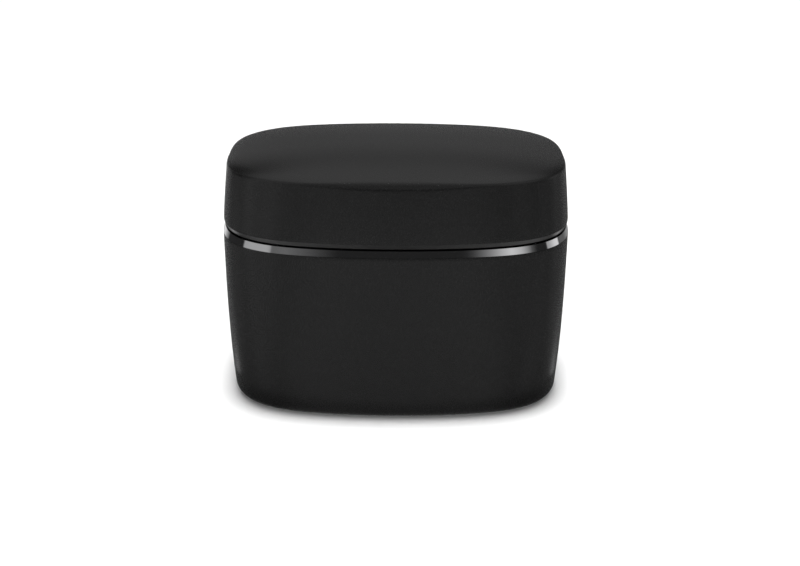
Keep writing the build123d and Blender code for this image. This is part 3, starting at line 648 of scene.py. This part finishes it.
for name, xs in (("gauge_pipes", (-6.0, 0.0, 6.0)), ("side_pipes", (-WELL_X, WELL_X))):
    node_name = "gauge_light_pipes" if name == "gauge_pipes" else "side_light_pipes"
    piece(join(name, *[pipe(x) for x in xs]), "base", slot_of[node_name], node_name, angle=40.0)

# -------------------------------------------------------------------------- seal
prof = [(2.83, 50.52), (2.77, 50.58), (2.77, 52.55), (2.80, 52.78), (2.88, 52.95), (3.02, 53.06), (3.20, 53.10), (3.38, 53.07), (3.54, 52.97), (3.65, 52.80),
        (3.70, 52.55), (3.70, 50.58), (3.64, 50.52)]
seal = mesh_from("seal", [ring(s, z) for s, z in prof], loop=True)
boolean(seal, block("c", -21.2, 21.2, 20.0, 34.0, 50.0, 54.0))
piece(seal, "base", "black_rubber", "seal_gasket", angle=50.0)

# --------------------------------------------------------------------- lid liner
rings = [ring_ab(12.0, 6.0, 66.1)]
for i in range(13):
    a = math.pi / 2 * i / 12
    rings.append(ring_ab(41.7 - 3.0 * (1 - math.sin(a)), 22.2 - 3.0 * (1 - math.sin(a)), 66.1 - 3.0 * (1 - math.cos(a))))
rings.append(ring_ab(41.7, 22.2, 57.0))
for u, v in quarter(0.5, 6):
    rings.append(ring_ab(41.7 + u, 22.2 + u, 53.7 - v))
rings += [ring(2.7, 53.2), ring(2.5, 53.24), ring(2.45, 53.32), ring(2.45, 54.7), ring(2.55, 54.8), ring_ab(43.2, 23.7, 54.8), ring_ab(43.2, 23.7, 66.3)]
for u, v in quarter(1.0, 4)[1:]:
    rings.append(ring_ab(43.2 - u, 23.7 - u, 66.3 + v))
liner = mesh_from("liner", rings, cap_first=True, cap_last=True)
boolean(liner, join("u", *[block("u", x - 6.8, x + 6.8, -24.7, -23.5, 54.6, 57.5) for x in (-13.0, 13.0)]), "UNION")
boolean(liner, block("c", -21.0, 21.0, 25.3, 34.0, 53.0, 56.0))
piece(liner, "lid", slot_of["lid_inner_liner"], "lid_inner_liner", angle=30.0)

# ------------------------------------------------------------------------ bottom
prof = [(6.4 + 0.25, 0.8)] + [(6.4 + 0.25 - v, 0.8 + 0.25 - (0.25 - u)) for u, v in quarter(0.25, 4)][1:] + [(6.4, 2.6), (6.5, 2.7)]
cover = mesh_from("cover", [ring(s, z) for s, z in prof], cap_first=True, cap_last=True)
boolean(cover, join("u", *[rod("u", "Z", (x, y), 2.6, 15.18, 2.4, 64) for x, y in four(27.5, 18.0)]), "UNION")
cuts = [rod("c", "Z", (x, y), 6.0, 16.2, 0.9, 32) for x, y in four(27.5, 18.0)]
cuts += [lathe("c", "Z", (x, y), [(2.25, 0.0), (2.25, 0.78), (2.1, 0.93), (2.1, 2.0), (1.15, 2.0), (1.15, 4.0)], 64) for x, y in four(34.5, 16.5)]
cuts += [lathe("c", "Z", (x, y), [(4.3, 0.0), (4.3, 0.78), (4.15, 0.93), (4.15, 1.65)], 96) for x, y in four(28.0, 12.5)]
cuts += [bar("c", "Z", (0, 0), [(0.0, 18.3, 6.3, 1.3), (0.78, 18.3, 6.3, 1.3), (0.88, 18.2, 6.2, 1.2), (1.1, 18.2, 6.2, 1.2)])]
boolean(cover, join("c", *cuts))
piece(cover, "base", slot_of["bottom_cover"], "bottom_cover", angle=30.0)
plate = bar("plate", "Z", (0, 0), [(0.86, 17.92, 5.92, 0.95), (0.90, 18.0, 6.0, 1.0), (1.08, 18.0, 6.0, 1.0)])
piece(plate, "base", slot_of["rating_plate"], "rating_plate", angle=30.0)
foot = [(3.45, 0.0)] + [(3.45 + 0.5 * math.sin(a), 0.5 - 0.5 * math.cos(a)) for a in (math.pi / 2 * i / 6 for i in range(1, 7))] + [(3.98, 1.2), (4.0, 1.6)]
foot = [(2.6, 0.12), (2.9, 0.02)] + foot
piece(join("feet", *[lathe("f", "Z", p, foot, 96) for p in four(28.0, 12.5)]), "base", slot_of["rubber_feet"], "rubber_feet", angle=40.0)


def screw_z(x, y):
    s = lathe("s", "Z", (x, y), [(1.3, 0.9), (1.62, 0.97), (1.82, 1.12), (1.9, 1.35), (1.9, 1.9), (1.82, 1.98), (0.85, 1.98), (0.85, 10.2), (0.55, 10.5)], 64)
    boolean(s, block("c", x - 1.18, x + 1.18, y - 0.25, y + 0.25, 0.8, 1.45))
    boolean(s, block("c", x - 0.25, x + 0.25, y - 1.18, y + 1.18, 0.8, 1.45))
    return s


piece(join("cover_screws", *[screw_z(x, y) for x, y in four(34.5, 16.5)]), "base", slot_of["bottom_cover_screws"], "bottom_cover_screws", angle=30.0)

# ------------------------------------------------------------------------- hinge
def knuckle(x0, x1, name="k"):
    r = KNUCKLE_R
    return lathe(name, "X", (AX_Y, AX_Z), [(r - 0.18, x0), (r - 0.05, x0 + 0.05), (r, x0 + 0.18), (r, x1 - 0.18), (r - 0.05, x1 - 0.05), (r - 0.18, x1)], 128)


bracket = extrude_x("bracket", [(25.2, 39.0), (26.6, 39.0), (26.6, 50.3), (28.6, 50.3), (28.6, 51.8), (25.2, 51.8)], -20.5, 20.5)
for x0, x1 in ((-20.5, -12.0), (12.0, 20.5)):
    boolean(bracket, block("u", x0 + 0.3, x1 - 0.3, 26.4, 29.8, 50.5, 52.5), "UNION")
    boolean(bracket, knuckle(x0, x1), "UNION")
boolean(bracket, rod("c", "X", (AX_Y, AX_Z), -12.0, 12.0, KNUCKLE_R + 0.35, 128))
boolean(bracket, join("c", rod("c", "X", (AX_Y, AX_Z), -21.0, 21.0, 0.82, 64), *[rod("c", "Y", (x, 44.0), 25.0, 27.0, 1.0, 48) for x in (-15.0, 15.0)]))
piece(bracket, "base", "hinge_metal", "hinge_bracket", angle=30.0)
leaf = extrude_x("leaf", [(25.6, 53.3), (29.8, 53.3), (29.8, 55.0), (27.0, 55.0), (27.0, 64.0), (25.6, 64.0)], -11.3, 11.3)
boolean(leaf, knuckle(-11.7, 11.7), "UNION")
boolean(leaf, join("c", rod("c", "X", (AX_Y, AX_Z), -12.0, 12.0, 0.86, 64), *[rod("c", "Y", (x, 60.0), 25.0, 28.0, 1.0, 48) for x in (-7.0, 7.0)]))
piece(leaf, "lid", "hinge_metal", "lid_hinge_leaf", angle=30.0)
pin = lathe("pin", "X", (AX_Y, AX_Z), [(0.5, -20.5), (0.72, -20.44), (0.8, -20.3), (0.8, 20.3), (0.72, 20.44), (0.5, 20.5)], 64)
piece(pin, "base", slot_of["hinge_pin"], "hinge_pin", angle=40.0)

# ------------------------------------------------------------- inlet and button
shell = [(22.95, 4.2, 1.36, 1.28), (23.1, 4.47, 1.63, 1.55), (30.1, 4.47, 1.63, 1.55), (30.2, 4.44, 1.60, 1.52), (30.25, 4.37, 1.53, 1.45),
         (30.25, 4.27, 1.43, 1.35), (30.2, 4.20, 1.36, 1.28), (30.1, 4.17, 1.33, 1.25), (24.2, 4.17, 1.33, 1.25)]
inlet = bar("inlet_shell", "Y", (0.0, Z_PORT), shell, 24)
piece(inlet, "base", "inlet_steel", "usb_inlet_shell", angle=30.0)
tongue = [bar("t", "Y", (0.0, Z_PORT), [(24.22, 4.1, 1.26, 1.2), (25.6, 4.1, 1.26, 1.2)], 16),
          bar("t", "Y", (0.0, Z_PORT), [(25.5, 3.35, 0.35, 0.05), (29.2, 3.35, 0.35, 0.05), (29.4, 3.2, 0.2, 0.05)], 4)]
boolean(tongue[0], tongue[1], "UNION")
tongue = tongue[0]
tongue.name = "inlet_tongue"
pads = []
for k in range(12):
    x = -2.75 + 0.5 * k
    for z0 in (Z_PORT - 0.375, Z_PORT + 0.335):
        pads.append(block("b", x - 0.13, x + 0.13, 25.7, 28.9, z0, z0 + 0.04))
pads = join("b", *pads)
tongue_only = len(tongue.data.polygons)
tongue = join("inlet_tongue", tongue, pads)
smooth(tongue, 30.0)
tongue.data.materials.append(MAT["connector_black"])
tongue.data.materials.append(MAT["contact_gold"])
for p in tongue.data.polygons:
    p.material_index = 1 if p.index >= tongue_only else 0
piece(tongue, "base", None, "usb_inlet_tongue", angle=30.0)


def wall_y(x, z):
    u = abs(x) / (HALF_W - base_inset(z))
    return (HALF_D - base_inset(z)) * (1 - u ** PLAN_N) ** (1 / PLAN_N) * swell(u)


r = BUTTON_R
prof = [(1.4, 26.2), (1.4, 26.4), (4.2, 26.4), (4.3, 26.5), (4.3, 27.3), (4.2, 27.4), (r, 27.4)]
front = wall_y(BUTTON_X, Z_PORT) + 0.35
prof += [(r - 0.45 + 0.45 * math.cos(a), front - 0.45 + 0.45 * math.sin(a)) for a in (math.pi / 2 * i / 7 for i in range(8))]
prof += [(2.6, front - 0.01), (2.2, front - 0.06), (1.7, front - 0.12), (1.1, front - 0.16), (0.5, front - 0.18)]
cap = lathe("button_cap", "Y", (BUTTON_X, Z_PORT), prof, 128)
for v in cap.data.vertices:
    x, y, z = v.co / MM
    if y > 28.0:
        v.co.y += (wall_y(x, z) - wall_y(BUTTON_X, Z_PORT)) * MM
piece(cap, "status_button", "soft_touch_black", "status_button_cap", angle=40.0)

# ------------------------------------------------------------------------- stage
def stage_material(name, strength=None, color=0.9):
    m, nt, b = new_material(name)
    if strength is None:
        b.inputs["Base Color"].default_value = (color, color, color, 1.0)
        b.inputs["Roughness"].default_value = 0.9
        b.inputs["Specular IOR Level"].default_value = 0.0
    return m


def plane_mesh(name, corners):
    me = bpy.data.meshes.new(name)
    me.from_pydata([tuple(c) for c in corners], [], [(0, 1, 2, 3)])
    obj = bpy.data.objects.new(name, me)
    scene.collection.objects.link(obj)
    return obj


# painted shade: the card's glow stands in for the shaded floor seen in reflections, at full level near the middle and
# fading to 0.46 of it towards the ends
def painted_shade_material(level):
    m = bpy.data.materials.new("painted_shade_card")
    m.use_nodes = True
    nt = m.node_tree
    nt.nodes.clear()
    em = nt.nodes.new("ShaderNodeEmission")
    sep = nt.nodes.new("ShaderNodeSeparateXYZ")
    nt.links.new(nt.nodes.new("ShaderNodeTexCoord").outputs["Object"], sep.inputs[0])
    far = nt.nodes.new("ShaderNodeMath")
    far.operation = "ABSOLUTE"
    nt.links.new(sep.outputs["X"], far.inputs[0])
    fade = nt.nodes.new("ShaderNodeMapRange")
    fade.interpolation_type = "SMOOTHSTEP"
    for k, v in zip(("From Min", "From Max", "To Min", "To Max"), (23.0 * MM, 40.0 * MM, level, level * 0.46)):
        fade.inputs[k].default_value = v
    nt.links.new(far.outputs[0], fade.inputs["Value"])
    nt.links.new(fade.outputs["Result"], em.inputs["Strength"])
    out = nt.nodes.new("ShaderNodeOutputMaterial")
    nt.links.new(em.outputs[0], out.inputs[0])
    return m


# reach and glow level of the painted shade card round the foot
PAINTED_SHADE_REACH, PAINTED_SHADE_LEVEL = 7.0, 0.24
floor = plane_mesh("floor", [(-1.1, -1.1, 0), (1.1, -1.1, 0), (1.1, 1.1, 0), (-1.1, 1.1, 0)])
floor.data.materials.append(stage_material("floor_white", color=0.86))


def softbox(name, az, el, dist, width, height, strength, spread=math.pi, shape="RECTANGLE", aim=(0.0, 0.0, 0.045)):
    """Area light at an azimuth (0 in front, 90 to the right) and elevation, facing the case."""
    light = bpy.data.lights.new(name, "AREA")
    light.shape = shape
    light.size, light.size_y = width, height
    light.energy = strength * width * height * math.pi
    light.spread = spread
    a, e = math.radians(az), math.radians(el)
    at = Vector(aim)
    pos = at + Vector((math.sin(a) * math.cos(e), -math.cos(a) * math.cos(e), math.sin(e))) * dist
    obj = bpy.data.objects.new(name, light)
    obj.matrix_world = Matrix.Translation(pos) @ (at - pos).to_track_quat("-Z", "Y").to_matrix().to_4x4()
    scene.collection.objects.link(obj)
    return obj


LIGHTS = [
    ("overhead_key", 0.0, 90.0, 0.5, 0.5, 82.7, "DISK"), ("overhead_wide", 0.0, 90.0, 3.0, 3.0, 1.66, "RECTANGLE"),
    ("front_high", 0.0, 55.0, 1.8, 1.8, 2.63, "RECTANGLE"), ("right_high", 90.0, 55.0, 1.8, 1.8, 0.47, "RECTANGLE"),
    ("front_low", 0.0, 22.0, 2.0, 0.9, 5.5, "RECTANGLE"),
]
for name, az, el, width, height, strength, shape in LIGHTS:
    softbox(name, az, el, 3.0, width, height, strength, shape=shape).visible_glossy = False

# the room's glow, as soft patches: azimuth (0 in front, 90 to the right), elevation, reach in degrees, level;
# a negative level is a dark flag that shades the patches near it
GLOW = [
    (-180, 88, 36, 0.25), (-180, 62, 34, 0.60), (-120, 62, 34, 0.18), (-60, 62, 34, 0.26), (60, 62, 34, 0.18),
    (120, 62, 34, 0.23), (-140, 44, 26, -0.15), (-180, 38, 30, 0.07), (-140, 38, 30, 0.25), (-60, 38, 30, 0.48),
    (-20, 38, 30, 0.21), (20, 38, 30, 0.33), (60, 38, 30, 0.57), (100, 38, 30, 0.06), (-150, 30, 18, -0.44),
    (-180, 14, 28, 0.20), (-144, 14, 28, 0.22), (-72, 14, 28, 0.51), (-36, 14, 28, 0.39), (36, 14, 28, 0.05),
    (72, 14, 28, 0.09), (108, 14, 28, 0.43), (144, 14, 28, 0.05), (-150, -12, 28, 0.22), (-120, -12, 28, 0.15),
    (-90, -12, 28, 0.28), (-60, -12, 28, 0.45), (-30, -12, 28, 0.29), (0, -12, 28, 0.33), (30, -12, 28, 0.27),
    (60, -12, 28, 0.25), (90, -12, 28, 0.18), (120, -12, 28, 0.17), (150, -12, 28, 0.16), (-135, -38, 38, 0.02),
    (-90, -38, 38, 0.09), (-45, -38, 38, 0.20), (0, -38, 38, 0.30), (45, -38, 38, 0.18), (90, -38, 38, 0.14),
    (135, -38, 38, 0.02), (-140, -64, 26, 0.55), (-100, -64, 26, 0.59), (-60, -64, 26, 0.59), (60, -64, 26, 0.62),
    (100, -64, 26, 0.60), (140, -64, 26, 0.15),
    (-137, -38, 13, 1.30), (137, -38, 13, 1.30),
]
# panels round the case at the height of the lid's gap: azimuth, level
PANELS = [
    (-180, 1.00), (-150, 0.94), (-130, 0.23), (-127, 0.20), (-124, 0.03), (-82.3, 0.02), (-80.9, 0.42), (-70, 0.47),
    (-48, 0.48), (-44, 0.43), (-42.3, 0.15), (-31, 0.17), (-22, 0.11), (-13, 0.02), (-6, 0.02), (11, 0.01), (14, 0.01),
    (16, 0.03), (18, 0.08), (23, 0.28), (29, 0.56), (35, 0.76), (44, 0.57), (50, 0.34), (56, 0.10), (63, 0.01),
    (80.0, 0.01), (81.5, 0.43), (86, 0.47), (98, 0.82), (107, 0.89), (111, 0.03), (113, 0.13), (124, 0.14), (128, 0.13),
    (132, 0.16), (150, 0.34), (180, 0.36),
]

world = bpy.data.worlds.new("world")
scene.world = world
world.use_nodes = True
wn = world.node_tree
bg = wn.nodes["Background"]


def math_node(op, a, b=None):
    n = wn.nodes.new("ShaderNodeMath")
    n.operation = op
    for i, v in enumerate((a, b)):
        if v is None:
            continue
        if isinstance(v, (int, float)):
            n.inputs[i].default_value = v
        else:
            wn.links.new(v, n.inputs[i])
    return n.outputs[0]


def window(value, lo, hi):
    r = wn.nodes.new("ShaderNodeMapRange")
    r.interpolation_type = "SMOOTHSTEP"
    r.inputs["From Min"].default_value, r.inputs["From Max"].default_value = lo, hi
    wn.links.new(value, r.inputs["Value"])
    return r.outputs["Result"]


way = wn.nodes.new("ShaderNodeTexCoord").outputs["Generated"]
total = None
for az, el, wid, level in GLOW:
    a, e = math.radians(az), math.radians(el)
    dot = wn.nodes.new("ShaderNodeVectorMath")
    dot.operation = "DOT_PRODUCT"
    dot.inputs[1].default_value = (math.sin(a) * math.cos(e), -math.cos(a) * math.cos(e), math.sin(e))
    wn.links.new(way, dot.inputs[0])
    spot = math_node("MULTIPLY", window(dot.outputs["Value"], math.cos(math.radians(wid)), 1.0), level)
    total = spot if total is None else math_node("ADD", total, spot)
sep = wn.nodes.new("ShaderNodeSeparateXYZ")
wn.links.new(way, sep.inputs[0])
turn = wn.nodes.new("ShaderNodeCombineXYZ")
wn.links.new(math_node("MULTIPLY", sep.outputs["Y"], -1.0), turn.inputs[0])
wn.links.new(sep.outputs["X"], turn.inputs[1])
grad = wn.nodes.new("ShaderNodeTexGradient")
grad.gradient_type = "RADIAL"
wn.links.new(turn.outputs[0], grad.inputs[0])
left = [(p / 360.0 + 0.5, v - 0.02) for p, v in PANELS if p <= 0]
right = [(p / 360.0 + 0.5, v - 0.02) for p, v in PANELS if p > 0]
sides = []
for stops in (left, right):
    gray = wn.nodes.new("ShaderNodeRGBToBW")
    wn.links.new(ramp(wn, grad.outputs["Fac"], stops), gray.inputs[0])
    sides.append(gray.outputs[0])
# the narrow belt of directions that the trim ring mirrors: its height falls from front to back
flat = math_node("SQRT", math_node("MAXIMUM", math_node("SUBTRACT", 1.0, math_node("MULTIPLY", sep.outputs["Z"], sep.outputs["Z"])), 1e-6))
toward = math_node("DIVIDE", math_node("MULTIPLY", sep.outputs["Y"], -1.0), flat)
half_turn = math_node("SQRT", math_node("MAXIMUM", math_node("MULTIPLY", math_node("ADD", toward, 1.0), 0.5), 0.0))
belt = math_node("SUBTRACT", math_node("MULTIPLY", half_turn, 0.5415), 0.304)
off_belt = math_node("ABSOLUTE", math_node("SUBTRACT", sep.outputs["Z"], belt))
inside = math_node("SUBTRACT", 1.0, window(off_belt, 0.055, 0.10))
outside = math_node("SUBTRACT", 1.0, inside)
level = math_node("ADD", math_node("ADD", sides[0], sides[1]), 0.02)
band = math_node("MULTIPLY", level, inside)
wn.links.new(math_node("ADD", math_node("MULTIPLY", math_node("MAXIMUM", total, 0.0), outside), band), bg.inputs["Strength"])
bg.inputs["Color"].default_value = (1.0, 1.0, 1.0, 1.0)
world.cycles.sampling_method = "NONE"
world.cycles_visibility.camera = False
world.cycles_visibility.diffuse = False
world.cycles_visibility.scatter = False

floor.visible_glossy = False

# painted shade: a dimly glowing strip round the foot, seen only in reflections where the floor itself is not, standing
# in for the floor's contact shadow there
painted_card = mesh_from("painted_shade_card", [ring(6.0, 0.02), ring(-PAINTED_SHADE_REACH, 0.02)])
painted_card.data.materials.append(painted_shade_material(PAINTED_SHADE_LEVEL))
painted_card.visible_camera = painted_card.visible_diffuse = painted_card.visible_shadow = painted_card.visible_transmission = False


def backdrop_material():
    m = bpy.data.materials.new("backdrop_white")
    m.use_nodes = True
    nt = m.node_tree
    nt.nodes.clear()
    em = nt.nodes.new("ShaderNodeEmission")
    em.inputs["Strength"].default_value = 1.1
    out = nt.nodes.new("ShaderNodeOutputMaterial")
    nt.links.new(em.outputs[0], out.inputs[0])
    return m


bm = bmesh.new()
bmesh.ops.create_uvsphere(bm, u_segments=48, v_segments=24, radius=3.6)
me = bpy.data.meshes.new("backdrop")
bm.to_mesh(me)
bm.free()
backdrop = bpy.data.objects.new("backdrop", me)
scene.collection.objects.link(backdrop)
backdrop.data.materials.append(backdrop_material())
backdrop.visible_glossy = backdrop.visible_diffuse = backdrop.visible_shadow = backdrop.visible_transmission = False

scene.view_settings.view_transform = "Standard"
scene.view_settings.look = "None"
scene.view_settings.exposure = 0.0
scene.view_settings.gamma = 1.0
scene.cycles.use_denoising = True
scene.cycles.max_bounces = 8
